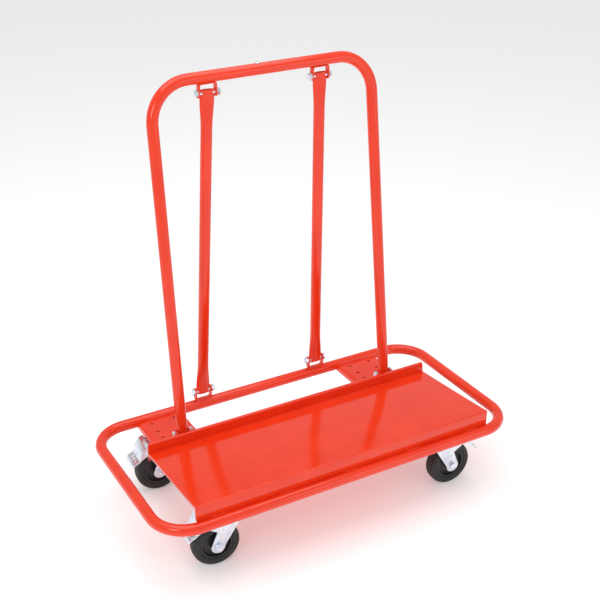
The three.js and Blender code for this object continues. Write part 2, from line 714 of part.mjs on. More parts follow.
function kingpin() {
  const top = CASTER_HEIGHT - FIT_GAP;
  const nutTop = CROWN_HEIGHT - FORK_SHEET - FIT_GAP;
  return join(
    bar('z', nutTop - KINGPIN_NUT - THREAD_PROUD, top - 1, KINGPIN_DIA / 2, [0, 0], HOLE_SIDES),
    bar('z', top - KINGPIN_HEAD + FIT_GAP, top, KINGPIN_HEAD_R, [0, 0]),
    hexagon('z', nutTop - KINGPIN_NUT, nutTop, AXLE_FLATS, [0, 0]),
  );
}

// One fork leg seen from the side: round end at the axle, slanted leg, arm out to the brake pivot.
function forkLegShape() {
  const shape = new THREE.Shape();
  shape.moveTo(-LEG_FRONT, CROWN_HEIGHT);
  shape.lineTo(-LEG_FRONT, CROWN_HEIGHT - LEG_SQUARE);
  shape.lineTo(AXLE[0] - LEG_END_R, AXLE[1]);
  shape.absarc(AXLE[0], AXLE[1], LEG_END_R, Math.PI, 2 * Math.PI, false);
  shape.lineTo(AXLE[0] + 1, CROWN_HEIGHT - LEG_NOTCH);
  shape.lineTo(BRAKE_PIVOT[0], BRAKE_PIVOT[1] - ARM_END_R);
  shape.absarc(BRAKE_PIVOT[0], BRAKE_PIVOT[1], ARM_END_R, -Math.PI / 2, Math.PI / 3, false);
  shape.lineTo(BRAKE_PIVOT[0] - ARM_END_R, CROWN_HEIGHT);
  return shape;
}

function fork() {
  const crownShape = new THREE.Shape();
  const half = FORK_OUTSIDE / 2;
  const crownEnd = BRAKE_PIVOT[0] - CROWN_SHORT;
  crownShape.moveTo(crownEnd, -half);
  crownShape.lineTo(crownEnd, half);
  crownShape.lineTo(0, half + CROWN_FLARE);
  crownShape.absarc(0, 0, half + CROWN_FLARE, Math.PI / 2, 1.5 * Math.PI, false);
  const crownOptions = { depth: FORK_SHEET, bevelEnabled: false, curveSegments: 8 };
  const crown = new THREE.ExtrudeGeometry(crownShape, crownOptions);
  crown.translate(0, 0, CROWN_HEIGHT - FORK_SHEET);
  const legs = [-1, 1].map((side) => {
    const inner = (side * FORK_INSIDE) / 2;
    const outer = side * half;
    return slab(forkLegShape(), Math.min(inner, outer), Math.max(inner, outer));
  });
  const cup = turnedUpright([
    [CUP_INNER, CROWN_HEIGHT - 0.5],
    [CUP_OUTER, CROWN_HEIGHT - 0.5],
    [CUP_OUTER, CROWN_HEIGHT + LOWER_CUP],
    [CUP_INNER, CROWN_HEIGHT + LOWER_CUP],
  ]);
  return cut(
    join(solid(crown), ...legs, cup),
    bar('z', CROWN_HEIGHT - 10, CROWN_HEIGHT + 10, KINGPIN_DIA / 2 + HOLE_CLEARANCE, [0, 0], HOLE_SIDES),
    bar('y', -FORK_OUTSIDE, FORK_OUTSIDE, AXLE_DIA / 2 + HOLE_CLEARANCE, AXLE, HOLE_SIDES),
    bar('y', -FORK_OUTSIDE, FORK_OUTSIDE, BRAKE_PIN_DIA / 2 + HOLE_CLEARANCE, BRAKE_PIVOT, HOLE_SIDES),
  );
}

function tyreOutline() {
  const half = WHEEL_WIDTH / 2;
  const seat = RIM_RADIUS + FIT_GAP;
  return [
    [seat, -half + TYRE_SEAT_INSET],
    [WHEEL_R - TYRE_SIDE, -half],
    [WHEEL_R - TYRE_SHOULDER, -half + TYRE_SHOULDER],
    [WHEEL_R, -half + TREAD_INSET],
    [WHEEL_R, half - TREAD_INSET],
    [WHEEL_R - TYRE_SHOULDER, half - TYRE_SHOULDER],
    [WHEEL_R - TYRE_SIDE, half],
    [seat, half - TYRE_SEAT_INSET],
  ];
}

function hubOutline() {
  const boss = FORK_INSIDE / 2 - HOLE_CLEARANCE;
  const rim = WHEEL_WIDTH / 2 - RIM_INSET;
  const bore = AXLE_DIA / 2 + HOLE_CLEARANCE;
  const right = [
    [bore, boss],
    [HUB_BOSS_R, boss],
    HUB_WEB_INNER,
    HUB_WEB_OUTER,
    [RIM_RADIUS - RIM_WALL, rim],
    [RIM_RADIUS, rim],
  ];
  const left = right.map(([r, y]) => [r, -y]);
  return [...left, ...right.reverse()];
}

function axleBolt() {
  const face = FORK_OUTSIDE / 2 + FIT_GAP;
  const nutEnd = face + AXLE_NUT;
  return join(
    bar('y', -face - 1, nutEnd + THREAD_PROUD, AXLE_DIA / 2, AXLE, HOLE_SIDES),
    hexagon('y', -face - HEAD_HEIGHT, -face, AXLE_FLATS, AXLE),
    hexagon('y', face, nutEnd, AXLE_FLATS, AXLE),
  );
}

// Pressed pedal: a broad plate that drops behind the wheel and kicks out to a toe tab,
// with a cheek down each side that the pivot pin goes through.
function brakeLever() {
  const fromPivot = (points) => points.map(([x, z]) => [BRAKE_PIVOT[0] + x, BRAKE_PIVOT[1] + z]);
  const plate = foldedSection(fromPivot(LEVER_PLATE), LEVER_SHEET, 2 * LEVER_SHEET);
  const cheek = polygon(fromPivot(LEVER_CHEEK));
  const cheeks = [-1, 1].map((side) => {
    const inner = side * (LEVER_HALF - LEVER_SHEET);
    const outer = side * LEVER_HALF;
    return slab(cheek, Math.min(inner, outer), Math.max(inner, outer));
  });
  const pinHoleR = BRAKE_PIN_DIA / 2 + HOLE_CLEARANCE;
  const pinHole = bar('y', -FORK_OUTSIDE, FORK_OUTSIDE, pinHoleR, BRAKE_PIVOT, HOLE_SIDES);
  return cut(join(slab(plate, -LEVER_HALF, LEVER_HALF), ...cheeks), pinHole);
}

function brakePin() {
  const face = LEVER_HALF + FIT_GAP;
  const head = face + BRAKE_PIN_HEAD;
  return join(
    bar('y', -face - 1, face + 1, BRAKE_PIN_DIA / 2, BRAKE_PIVOT, HOLE_SIDES),
    bar('y', -head, -face, BRAKE_PIN_HEAD_R, BRAKE_PIVOT, HOLE_SIDES),
    bar('y', face, head, BRAKE_PIN_HEAD_R, BRAKE_PIVOT, HOLE_SIDES),
  );
}

const ballRing = new THREE.TorusGeometry(RACE_RADIUS, BALL_DIA / 2, 6, ROUND_SIDES);
ballRing.translate(0, 0, BALL_Z);

function wheelPart(outline, sides) {
  const geometry = turned(outline, sides);
  geometry.translate(AXLE[0], 0, AXLE[1]);
  return geometryOf(solid(geometry));
}

const casterPieces = [
  ['plate', geometryOf(casterPlate()), ZINC],
  ['ball_race', ballRing, ZINC],
  ['kingpin', geometryOf(kingpin()), ZINC],
  ['fork', geometryOf(fork()), ZINC],
  ['axle_bolt', geometryOf(axleBolt()), ZINC],
  ['tyre', wheelPart(tyreOutline(), WHEEL_SIDES), RUBBER],
  ['hub', wheelPart(hubOutline(), ROUND_SIDES), BLACK_HUB],
  ['brake_lever', geometryOf(brakeLever()), ZINC],
  ['brake_pin', geometryOf(brakePin()), ZINC],
];

for (const caster of CASTERS) {
  const swivel = new THREE.Group();
  swivel.position.set(caster.x * CASTER_X, caster.y * CASTER_Y, 0);
  swivel.rotation.z = THREE.MathUtils.degToRad(caster.heading);
  model.add(swivel);
  const base = new THREE.Group();
  base.position.copy(swivel.position);
  model.add(base);
  for (const [piece, geometry, material] of casterPieces) {
    const parent = piece === 'plate' ? base : swivel;
    place(`caster_${caster.name}_${piece}`, geometry, material, parent);
  }
}

export default model;
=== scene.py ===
import json
import math
import bmesh
import bpy
from mathutils import Matrix, Vector


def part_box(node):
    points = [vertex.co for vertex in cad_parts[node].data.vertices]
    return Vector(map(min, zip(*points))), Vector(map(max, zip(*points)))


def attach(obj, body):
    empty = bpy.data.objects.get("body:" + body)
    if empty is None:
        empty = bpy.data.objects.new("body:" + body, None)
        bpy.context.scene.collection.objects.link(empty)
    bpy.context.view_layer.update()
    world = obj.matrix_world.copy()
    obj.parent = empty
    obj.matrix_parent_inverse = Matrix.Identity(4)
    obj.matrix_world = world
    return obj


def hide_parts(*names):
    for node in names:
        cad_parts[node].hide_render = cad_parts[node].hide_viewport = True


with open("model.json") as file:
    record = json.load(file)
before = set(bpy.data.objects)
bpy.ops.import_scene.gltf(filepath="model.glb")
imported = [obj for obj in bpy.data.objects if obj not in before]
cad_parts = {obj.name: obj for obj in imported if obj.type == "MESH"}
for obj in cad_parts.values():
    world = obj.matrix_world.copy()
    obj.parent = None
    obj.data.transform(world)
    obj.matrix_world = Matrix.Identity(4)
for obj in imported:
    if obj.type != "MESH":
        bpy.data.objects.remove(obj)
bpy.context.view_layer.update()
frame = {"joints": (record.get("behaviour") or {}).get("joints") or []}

# ---- Camera, floor and studio light ----------------------------------------------------
# A short telephoto looks down on the cart's front left corner. The floor is a pale
# studio sweep, lit by a broad overhead softbox, a key from the left and a weak fill.
AZIMUTH, ELEVATION, ROLL = (math.radians(a) for a in (-28.503, 27.174, -0.158))
CAMERA_PLACE = (-1.29458, -2.15671, 1.86580)
FILM_WIDTH, LENS, LENS_SHIFT = 36, 66.007, 0.0612
FLOOR_SIZE, FLOOR_GREY, FLOOR_ROUGHNESS, FLOOR_GLOW = 30, 0.93, 0.85, 0.24
SKY_STRENGTH = 0.6
LAMPS_AIM = Vector((0, 0, 0.4))
LAMPS = (  # name, place, size and power
    ("overhead", (0.0, 0.2, 3.4), 3.0, 47),
    ("key", (-2.6, -1.6, 2.2), 1.2, 18),
    ("fill", (1.8, -3.0, 1.4), 1.6, 8),
)

back = Vector((math.sin(AZIMUTH) * math.cos(ELEVATION),
               -math.cos(AZIMUTH) * math.cos(ELEVATION), math.sin(ELEVATION)))
level = Vector((math.cos(AZIMUTH), math.sin(AZIMUTH), 0))
upright = back.cross(level)
right = level * math.cos(ROLL) + upright * math.sin(ROLL)
up = upright * math.cos(ROLL) - level * math.sin(ROLL)
camera = bpy.data.objects.new("camera", bpy.data.cameras.new("camera"))
bpy.context.scene.collection.objects.link(camera)
camera.matrix_world = Matrix((right, up, back)).transposed().to_4x4()
camera.location = CAMERA_PLACE
camera.data.sensor_width = FILM_WIDTH
camera.data.lens = LENS
camera.data.shift_x = LENS_SHIFT
bpy.context.scene.camera = camera
bpy.context.scene.view_settings.view_transform = "Standard"


def shader(name, color, roughness, metallic=0.0):
    material = bpy.data.materials.new(name)
    material.use_nodes = True
    surface = material.node_tree.nodes["Principled BSDF"]
    surface.inputs["Base Color"].default_value = (*color, 1)
    surface.inputs["Roughness"].default_value = roughness
    surface.inputs["Metallic"].default_value = metallic
    return material, surface


def start(kind, **settings):
    """Adds a primitive with its place in its mesh, and leaves it alone selected."""
    bpy.ops.object.select_all(action="DESELECT")
    getattr(bpy.ops.mesh, f"primitive_{kind}_add")(**settings)
    bpy.ops.object.transform_apply(location=True, rotation=True, scale=True)
    return bpy.context.object


floor = start("plane", size=FLOOR_SIZE)
floor.name = "floor"
floor_paper, floor_surface = shader("studio_paper", (FLOOR_GREY,) * 3, FLOOR_ROUGHNESS)
floor_surface.inputs["Emission Color"].default_value = (1, 1, 1, 1)
floor_surface.inputs["Emission Strength"].default_value = FLOOR_GLOW
floor.data.materials.append(floor_paper)

world = bpy.data.worlds.new("studio")
world.use_nodes = True
sky = world.node_tree.nodes["Background"]
sky.inputs["Color"].default_value = (1, 1, 1, 1)
sky.inputs["Strength"].default_value = SKY_STRENGTH
bpy.context.scene.world = world
for name, place, size, power in LAMPS:
    lamp = bpy.data.objects.new(name, bpy.data.lights.new(name, "AREA"))
    lamp.data.size = size
    lamp.data.energy = power
    lamp.location = place
    aim = LAMPS_AIM - lamp.location
    lamp.rotation_euler = aim.to_track_quat("-Z", "Y").to_euler()
    bpy.context.scene.collection.objects.link(lamp)


# ---- Powder coat -----------------------------------------------------------------------
# The whole frame is sprayed and baked in one glossy red-orange powder. It flows out with
# a fine orange peel, and lies a little thinner and paler in broad soft patches.
def noise(material, scale, detail, vector=(1, 1, 1)):
    nodes, links = material.node_tree.nodes, material.node_tree.links
    place = nodes.new("ShaderNodeTexCoord")
    stretch = nodes.new("ShaderNodeMapping")
    stretch.inputs["Scale"].default_value = vector
    grain = nodes.new("ShaderNodeTexNoise")
    grain.inputs["Scale"].default_value = scale
    grain.inputs["Detail"].default_value = detail
    links.new(place.outputs["Object"], stretch.inputs["Vector"])
    links.new(stretch.outputs["Vector"], grain.inputs["Vector"])
    return grain.outputs["Fac"]


def mottle(material, surface, low, high, scale, detail=3, vector=(1, 1, 1)):
    """The colour drifts between two shades over noise of this scale."""
    nodes, links = material.node_tree.nodes, material.node_tree.links
    ramp = nodes.new("ShaderNodeValToRGB")
    ramp.color_ramp.elements[0].position = 0.35
    ramp.color_ramp.elements[1].position = 0.65
    ramp.color_ramp.elements[0].color = (*low, 1)
    ramp.color_ramp.elements[1].color = (*high, 1)
    links.new(noise(material, scale, detail, vector), ramp.inputs["Fac"])
    links.new(ramp.outputs["Color"], surface.inputs["Base Color"])


def vary_gloss(material, surface, low, high, scale, vector=(1, 1, 1)):
    nodes, links = material.node_tree.nodes, material.node_tree.links
    spread = nodes.new("ShaderNodeMapRange")
    spread.inputs["To Min"].default_value = low
    spread.inputs["To Max"].default_value = high
    links.new(noise(material, scale, 4, vector), spread.inputs["Value"])
    links.new(spread.outputs["Result"], surface.inputs["Roughness"])


def ripple(material, surface, scale, depth, detail=2, vector=(1, 1, 1)):
    """A fine bump of this depth in metres."""
    nodes, links = material.node_tree.nodes, material.node_tree.links
    bump = nodes.new("ShaderNodeBump")
    bump.inputs["Strength"].default_value = 1.0
    bump.inputs["Distance"].default_value = depth
    links.new(noise(material, scale, detail, vector), bump.inputs["Height"])
    links.new(bump.outputs["Normal"], surface.inputs["Normal"])


paint, paint_surface = shader("red_powder_coat", (0.88, 0.04, 0.006), 0.14)
paint_surface.inputs["Coat Weight"].default_value = 0.12
paint_surface.inputs["Coat Roughness"].default_value = 0.06
mottle(paint, paint_surface, (0.85, 0.036, 0.005), (0.91, 0.045, 0.008), 9)
vary_gloss(paint, paint_surface, 0.09, 0.17, 35)
ripple(paint, paint_surface, 420, 0.00002)


# ---- Bumper ring -----------------------------------------------------------------------
# Two U-shaped bends of round tube, butted and welded at the middle of the long sides and
# ground flush, with a small drain hole in the top of the back rail.
MM = 0.001
WALL = 2 * MM
TUBE_EDGES = 48
RING_BEND = 90 * MM
DRAIN_X, DRAIN_RADIUS = 60 * MM, 3 * MM


def select_only(piece):
    bpy.ops.object.select_all(action="DESELECT")
    piece.select_set(True)
    bpy.context.view_layer.objects.active = piece


def edit(piece, mode="VERT"):
    select_only(piece)
    bpy.ops.object.mode_set(mode="EDIT")
    bpy.ops.mesh.select_mode(type=mode)


def done_editing():
    bpy.ops.object.mode_set(mode="OBJECT")


def pick(piece, kind, wanted):
    """Selects the vertices, edges or faces whose middle passes the test."""
    bpy.ops.mesh.select_all(action="DESELECT")
    shape = bmesh.from_edit_mesh(piece.data)
    for item in getattr(shape, kind):
        corners = [item] if kind == "verts" else item.verts
        middle = sum((v.co for v in corners), Vector()) / len(corners)
        if wanted(middle, item):
            item.select_set(True)
    shape.select_flush_mode()
    bmesh.update_edit_mesh(piece.data)


def push(offset):
    bpy.ops.mesh.extrude_region_move(TRANSFORM_OT_translate={"value": offset})


def weld_up(piece, distance=0.00001):
    """Merges doubles and turns the faces outwards."""
    edit(piece)
    bpy.ops.mesh.select_all(action="SELECT")
    bpy.ops.mesh.remove_doubles(threshold=distance)
    bpy.ops.mesh.normals_make_consistent(inside=False)
    done_editing()


def apply(piece, kind, **settings):
    select_only(piece)
    modifier = piece.modifiers.new(kind.lower(), kind)
    for key, value in settings.items():
        setattr(modifier, key, value)
    bpy.ops.object.modifier_apply(modifier=modifier.name)
    return piece


def combine(piece, tool, operation):
    """Cuts, joins or intersects with a tool piece, which is then thrown away."""
    apply(piece, "BOOLEAN", object=tool, operation=operation, solver="EXACT")
    bpy.data.objects.remove(tool)
    return piece


def smooth(piece, degrees=35):
    select_only(piece)
    bpy.ops.object.shade_smooth_by_angle(angle=math.radians(degrees))


def fit(piece, name, material, body="root", nodes=()):
    """Names and finishes a piece and hands it to its body."""
    piece.name = piece.data.name = name
    piece.data.materials.clear()
    piece.data.materials.append(material)
    smooth(piece)
    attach(piece, body)
    if nodes:
        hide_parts(*nodes)
    return piece


def rod(axis, low, high, radius, across, edges=32):
    """Round bar along an axis between two stations, centred across the other two."""
    turn = {"x": (0, math.pi / 2, 0), "y": (math.pi / 2, 0, 0), "z": (0, 0, 0)}[axis]
    place = list(across)
    place.insert("xyz".index(axis), (low + high) / 2)
    return start("cylinder", vertices=edges, radius=radius, depth=high - low,
                 location=place, rotation=turn)


def bent_tube(corners, bend, radius, wall, bend_steps=14):
    """A circle drawn along straight runs and spun round each corner, then given its wall."""
    points = [Vector(corner) for corner in corners]
    heading = (points[1] - points[0]).normalized()
    tube = start("circle", vertices=TUBE_EDGES, radius=radius, location=points[0],
                 rotation=heading.to_track_quat("Z", "Y").to_euler())
    edit(tube)
    bpy.ops.mesh.select_all(action="SELECT")
    at = points[0]
    for before, corner, after in zip(points, points[1:], points[2:]):
        into, away = (corner - before).normalized(), (after - corner).normalized()
        turn = into.angle(away)
        reach = bend * math.tan(turn / 2)
        normal = into.cross(away).normalized()
        bend_from = corner - into * reach
        push(bend_from - at)
        centre = bend_from + normal.cross(into) * bend
        bpy.ops.mesh.spin(steps=bend_steps, angle=-turn, center=centre, axis=normal)
        at = corner + away * reach
    push(points[-1] - at)
    done_editing()
    weld_up(tube)
    if wall:
        apply(tube, "SOLIDIFY", thickness=wall, offset=-1, use_even_offset=True)
    return tube


ring_low, ring_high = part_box("bumper_ring")
TUBE_R = (ring_high.z - ring_low.z) / 2
RING_Z = ring_low.z + TUBE_R
RAIL_X, RAIL_Y = ring_high.x - TUBE_R, ring_high.y - TUBE_R
butt = (0, -RAIL_Y)
corners = [(RAIL_X, -RAIL_Y), (RAIL_X, RAIL_Y), (-RAIL_X, RAIL_Y), (-RAIL_X, -RAIL_Y)]
ring = bent_tube([(x, y, RING_Z) for x, y in (butt, *corners, butt)], RING_BEND, TUBE_R, WALL)
combine(ring, rod("z", RING_Z, RING_Z + 2 * TUBE_R, DRAIN_RADIUS, (DRAIN_X, RAIL_Y)), "DIFFERENCE")
fit(ring, "bumper_ring_tube", paint, nodes=["bumper_ring"])


# ---- Weld beads ------------------------------------------------------------------------
# MIG fillets under the powder coat: short runs of overlapping ripples along each joint.
BEAD_PITCH, BEAD_RADIUS = 2.6 * MM, 2.2 * MM
BEAD_WAIST, BEAD_SWELL, BEAD_END = 0.6, 1.35, 0.75


def bead(name, begin, finish, radius=BEAD_RADIUS):
    """A thin rod drawn along the joint, swelling and narrowing at each ripple."""
    begin, finish = Vector(begin), Vector(finish)
    along = finish - begin
    ripples = max(3, round(along.length / BEAD_PITCH))
    step = along / (2 * ripples)
    run = start("circle", vertices=10, radius=radius * BEAD_WAIST, fill_type="NGON",
                location=begin, rotation=along.to_track_quat("Z", "Y").to_euler())
    edit(run, "FACE")
    bpy.ops.mesh.select_all(action="SELECT")
    bpy.ops.mesh.flip_normals()
    for i in range(2 * ripples):
        push(step)
        swell = BEAD_SWELL if i % 2 == 0 else 1 / BEAD_SWELL
        if i == 2 * ripples - 1:
            swell *= BEAD_END
        bpy.ops.transform.resize(value=(swell,) * 3, center_override=begin + step * (i + 1))
    done_editing()
    weld_up(run)
    return fit(run, name, paint)


# ---- Cross channels --------------------------------------------------------------------
# Two strips of 4 mm sheet folded down along both edges, coped to the rails and welded
# between them. Each end is drilled for a caster plate, with an extra pair of holes.
SHEET = 4 * MM
FOLD = 4 * MM
HOLE_RADIUS = 5.2 * MM
HOLE_COLUMNS = (-33 * MM, 33 * MM)
HOLE_ROWS = (140 * MM, 173 * MM, 216 * MM)
COPE_GAP = 0.2 * MM
CUT_PAST = 50 * MM


def ease(piece, width, segments=2, sharper_than=50):
    """Rounds every edge that is sharper than this many degrees."""
    apply(piece, "BEVEL", width=width, segments=segments, limit_method="ANGLE",
          angle_limit=math.radians(sharper_than))


def fold_edges(piece, radius):
    """Rounds the sharp folds of a bare sheet before it gets its thickness."""
    ease(piece, radius, 5, 30)


def thicken(piece, thickness, edge=0.4 * MM):
    apply(piece, "SOLIDIFY", thickness=thickness, offset=0.0, use_even_offset=True)
    ease(piece, edge)


for side in ("left", "right"):
    low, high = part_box(f"cross_channel_{side}")
    middle, width = (low + high) / 2, high.x - low.x
    channel = start("plane", size=1, location=(middle.x, 0, high.z - SHEET / 2))
    edit(channel)
    bpy.ops.mesh.select_all(action="SELECT")
    bpy.ops.transform.resize(value=(width - SHEET, 2 * RAIL_Y, 1),
                             center_override=(middle.x, 0, 0))
    bpy.ops.mesh.select_mode(type="EDGE")
    pick(channel, "edges", lambda at, _: abs(at.x - middle.x) > 0.4 * width)
    push((0, 0, low.z - high.z + SHEET / 2))
    done_editing()
    weld_up(channel)
    fold_edges(channel, FOLD)
    thicken(channel, SHEET)
    for end in (-1, 1):
        rail = rod("x", low.x - CUT_PAST, high.x + CUT_PAST, TUBE_R + COPE_GAP,
                   (end * RAIL_Y, RING_Z), 64)
        combine(channel, rail, "DIFFERENCE")
        for row in HOLE_ROWS:
            for column in HOLE_COLUMNS:
                drill = rod("z", high.z - 2 * SHEET, high.z + SHEET, HOLE_RADIUS,
                            (middle.x + column, end * row))
                combine(channel, drill, "DIFFERENCE")
    edit(channel)
    bpy.ops.mesh.select_all(action="SELECT")
    bpy.ops.mesh.separate(type="LOOSE")
    done_editing()
    channel, *scraps = sorted(bpy.context.selected_objects,
                              key=lambda part: -len(part.data.vertices))
    for scrap in scraps:
        bpy.data.objects.remove(scrap)
    fit(channel, f"cross_channel_{side}_sheet", paint, nodes=[f"cross_channel_{side}"])
    for end, word in ((-1, "front"), (1, "back")):
        joint_y, joint_z = end * (RAIL_Y - TUBE_R - 0.5 * MM), high.z + 0.2 * MM
        bead(f"weld_channel_{side}_{word}", (low.x + 6 * MM, joint_y, joint_z),
             (high.x - 6 * MM, joint_y, joint_z))


# ---- Deck ------------------------------------------------------------------------------
# One sheet of 2.5 mm steel: a skirt stands on the front rail, the deck falls gently to the
# back, and a doubled lip turns down again on to the channels. The ends are flanged.
DECK_SHEET = 2.5 * MM
DECK_FOLD = 2.4 * MM
LIP_THICK = 10 * MM
LIP_SETBACK = 3 * MM
DECK_DROP = 28 * MM
FLANGE = 8 * MM
SKIRT_RETURN = 9 * MM
SKIRT_FOOT_RISE = 13.4 * MM
SKIRT_WELDS, SKIRT_WELD_HALF = (-380 * MM, -190 * MM, 0, 190 * MM, 380 * MM), 20 * MM
BACK_WELD = (20 * MM, 50 * MM)

deck_low, deck_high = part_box("deck_tray")
half_sheet = DECK_SHEET / 2
front_top = Vector((0, deck_low.y + half_sheet, deck_high.z - half_sheet))
lip_foot = Vector((0, deck_high.y - LIP_THICK + half_sheet, front_top.z - DECK_DROP))
skirt_foot = RING_Z + SKIRT_FOOT_RISE
deck_width = deck_high.x - deck_low.x - DECK_SHEET
deck = start("plane", size=1, location=(0, front_top.y, front_top.z))
edit(deck)
bpy.ops.mesh.select_all(action="SELECT")
bpy.ops.transform.resize(value=(deck_width, 0, 0), center_override=front_top)
bpy.ops.mesh.remove_doubles(threshold=0.001)
bpy.ops.transform.translate(value=(0, 0, skirt_foot - front_top.z))
bpy.ops.mesh.select_mode(type="EDGE")
for step in (
    (0, 0, front_top.z - skirt_foot),
    lip_foot - front_top,
    (0, 0, front_top.z - lip_foot.z),
    (0, LIP_THICK - DECK_SHEET, 0),
    (0, 0, deck_low.z - front_top.z),
):
    push(step)
done_editing()
weld_up(deck)
edit(deck)
for end in (-1, 1):
    pick(deck, "verts", lambda at, _: at.x * end > 0 and at.y > lip_foot.y - MM)
    bpy.ops.transform.translate(value=(-end * LIP_SETBACK, 0, 0))
bpy.ops.mesh.select_mode(type="EDGE")
for end in (-1, 1):
    pick(deck, "edges", lambda at, edge: at.x * end > 0
         and front_top.y + 50 * MM < at.y < lip_foot.y - 50 * MM
         and abs(edge.verts[0].co.x - edge.verts[1].co.x) < 10 * MM)
    push((0, 0, -FLANGE))
    pick(deck, "edges", lambda at, edge: at.x * end > deck_high.x - 2 * MM
         and abs(at.y - front_top.y) < MM
         and abs(edge.verts[0].co.z - edge.verts[1].co.z) > 20 * MM)
    push((0, SKIRT_RETURN, 0))
done_editing()
fold_edges(deck, DECK_FOLD)
thicken(deck, DECK_SHEET)
fit(deck, "deck_sheet", paint, nodes=["deck_tray"])
weld_y, weld_z = deck_low.y - 0.8 * MM, skirt_foot + 0.3 * MM
for i, x in enumerate(SKIRT_WELDS):
    bead(f"weld_skirt_{i + 1}", (x - SKIRT_WELD_HALF, weld_y, weld_z),
         (x + SKIRT_WELD_HALF, weld_y, weld_z))
channel_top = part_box("cross_channel_left")[1].z
weld_y, weld_z = deck_high.y + 0.8 * MM, channel_top + 0.8 * MM
for side in ("left", "right"):
    low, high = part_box(f"cross_channel_{side}")
    begin, finish = ((low.x + reach, weld_y, weld_z) for reach in BACK_WELD)
    bead(f"weld_deck_back_{side}", begin, finish)


# ---- Mast ------------------------------------------------------------------------------
# Two bent halves of the same tube lean back over the rear rail and meet at the middle of
# the top bar, where an inner sleeve joins them.
MAST_FOOT_HALF, MAST_TOP_HALF = 321 * MM, 314 * MM
MAST_FOOT_Y = 84.7 * MM
MAST_BEND = 100 * MM
MAST_FOOT_LIFT = 7 * MM
HALF_JOINT = 0.15 * MM
BOLT_HOLE_RADIUS = 5.5 * MM
SCREW_X, SCREW_RADIUS, SCREW_SLACK = -20 * MM, 3 * MM, 0.2 * MM

sleeve_low, sleeve_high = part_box("mast_sleeve")
bar_middle = (sleeve_low + sleeve_high) / 2
foot_bolt_low, foot_bolt_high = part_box("mast_foot_bolt_left")
mast_bolt_z = (foot_bolt_low.z + foot_bolt_high.z) / 2


def on_upright(side, height):
    """The upright's centre line at this height."""
    part = (height - RING_Z) / (bar_middle.z - RING_Z)
    across = MAST_FOOT_HALF + (MAST_TOP_HALF - MAST_FOOT_HALF) * part
    return Vector((side * across, MAST_FOOT_Y + (bar_middle.y - MAST_FOOT_Y) * part, height))


def screw_drill():
    return rod("z", bar_middle.z, bar_middle.z + 2 * TUBE_R, SCREW_RADIUS + SCREW_SLACK,
               (SCREW_X, bar_middle.y))


def bolt_drill(bolt_at):
    return rod("x", bolt_at.x - CUT_PAST, bolt_at.x + CUT_PAST, BOLT_HOLE_RADIUS,
               (bolt_at.y, bolt_at.z))


for side, word in ((-1, "left"), (1, "right")):
    foot = on_upright(side, channel_top + MAST_FOOT_LIFT)
    joint = Vector((side * HALF_JOINT, bar_middle.y, bar_middle.z))
    half = bent_tube([foot, on_upright(side, bar_middle.z), joint], MAST_BEND, TUBE_R, WALL)
    combine(half, bolt_drill(on_upright(side, mast_bolt_z)), "DIFFERENCE")
    if side < 0:
        combine(half, screw_drill(), "DIFFERENCE")
    fit(half, f"mast_{word}_tube", paint, nodes=[f"mast_{word}"])

sleeve_ends = [(x, bar_middle.y, bar_middle.z) for x in (sleeve_low.x, sleeve_high.x)]
sleeve_radius = (sleeve_high.z - sleeve_low.z) / 2
sleeve = bent_tube(sleeve_ends, MAST_BEND, sleeve_radius, WALL)
combine(sleeve, screw_drill(), "DIFFERENCE")
fit(sleeve, "mast_sleeve_tube", paint, nodes=["mast_sleeve"])


# ---- Screw and bolts -------------------------------------------------------------------
# Bright zinc-plated steel: a cross-recessed pan screw locks the sleeve, and hex bolts with
# their nuts go through the mast's feet and both ends of the struts.
PAN_HEIGHT, PAN_EDGE, PAN_SHOULDER = 2.5 * MM, 0.8 * MM, 1.8 * MM
RECESS_LENGTH, RECESS_WIDTH, RECESS_SINK = 4.6 * MM, 1.1 * MM, 1.5 * MM
CHAMFER_FACE = 0.48
THREAD_PITCH, THREAD_DEPTH, END_CHAMFER = 1.5 * MM, 0.6 * MM, 0.8 * MM
BOLT_RADIUS, BOLT_FLATS = 5 * MM, 17 * MM
HEAD_HEIGHT, NUT_HEIGHT, THREAD_PROUD = 6.5 * MM, 8 * MM, 3 * MM

zinc, zinc_surface = shader("bright_zinc", (0.76, 0.81, 0.89), 0.3, 1.0)
mottle(zinc, zinc_surface, (0.68, 0.74, 0.83), (0.84, 0.88, 0.94), 60)
vary_gloss(zinc, zinc_surface, 0.2, 0.42, 130)
ripple(zinc, zinc_surface, 900, 0.00001)


def outline(points):
    """A wire drawn from point to point, left selected in edit mode."""
    points = [Vector(point) for point in points]
    wire = start("plane", size=MM, location=points[0])
    edit(wire)
    bpy.ops.mesh.select_all(action="SELECT")
    bpy.ops.mesh.merge(type="CENTER")
    for before, after in zip(points, points[1:]):
        push(after - before)
    return wire


def turned(profile, steps=48):
    """A profile of (radius, height) points spun round the upright axis."""
    blank = outline([(radius, 0, height) for radius, height in profile])
    bpy.ops.mesh.select_all(action="SELECT")
    bpy.ops.mesh.spin(steps=steps, angle=2 * math.pi, center=(0, 0, 0), axis=(0, 0, 1))
    done_editing()
    weld_up(blank, 0.000005)
    return blank


def set_down(piece, matrix):
    """Moves a finished piece to its place and leaves the move in its mesh."""
    select_only(piece)
    piece.matrix_world = matrix
    bpy.ops.object.transform_apply(location=True, rotation=True, scale=True)
    return piece


def copy_of(piece):
    select_only(piece)
    bpy.ops.object.duplicate()
    return bpy.context.object


